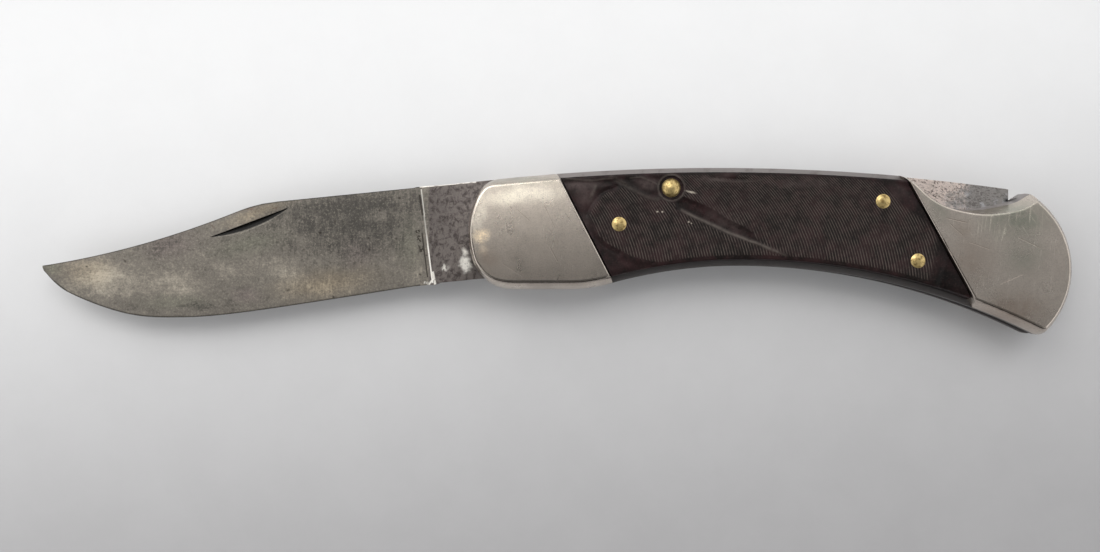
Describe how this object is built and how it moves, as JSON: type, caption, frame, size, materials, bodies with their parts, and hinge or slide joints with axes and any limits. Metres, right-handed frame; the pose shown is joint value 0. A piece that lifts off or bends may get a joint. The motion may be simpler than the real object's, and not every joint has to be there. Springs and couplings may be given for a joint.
{
  "type": "folding knife",
  "caption": "Large folding hunting knife with a clip blade, back lock, metal bolsters and dark ribbed covers, shown open.",
  "frame": {"origin": "below the middle of the open knife's bounding box, on the surface that the pile side lies on", "axes": "+X from the blade's tip to the butt, +Y from the cutting edge to the back, +Z out of the marked side with the nail nick"},
  "size_m": [0.2166, 0.035, 0.0142],
  "materials": {
    "blade_steel": "old carbon steel with a mottled grey and brown patina",
    "lock_bar_steel": "pitted steel, worn bright on its tail",
    "liner_steel": "satin, a little tarnished",
    "bolster_metal": "warm white metal, satin with fine scratches and polished edges",
    "cover_plastic": "dark brown moulded plastic with fine curved ribs",
    "pin_brass": "domed and polished"
  },
  "bodies": {
    "handle": {"mark_liner": "liner_steel", "pile_liner": "liner_steel", "mark_front_bolster": "bolster_metal", "pile_front_bolster": "bolster_metal", "mark_rear_bolster": "bolster_metal", "pile_rear_bolster": "bolster_metal", "mark_cover": "cover_plastic", "pile_cover": "cover_plastic", "mark_front_rivet": "pin_brass", "pile_front_rivet": "pin_brass", "mark_rear_upper_rivet": "pin_brass", "pile_rear_upper_rivet": "pin_brass", "mark_rear_lower_rivet": "pin_brass", "pile_rear_lower_rivet": "pin_brass", "butt_spacer": "liner_steel", "leaf_spring": "liner_steel", "rocker_pin": "pin_brass", "pivot_pin": "bolster_metal", "upper_butt_pin": "bolster_metal", "lower_butt_pin": "bolster_metal"},
    "blade": {"blade": "blade_steel"},
    "lock_bar": {"lock_bar": "lock_bar_steel"}
  },
  "joints": [
    {"name": "blade_pivot", "type": "hinge", "parent": "handle", "child": "blade", "pos_m": [-0.00425, 0.00373, 0.0071], "axis": [0, 0, 1], "range_deg": [0, 168]},
    {"name": "lock_rock", "type": "hinge", "parent": "handle", "child": "lock_bar", "pos_m": [0.02445, 0.01303, 0.0071], "axis": [0, 0, -1], "range_deg": [0, 2.6], "stiffness_Nm_per_rad": 15, "deforming": ["leaf_spring"]}
  ]
}
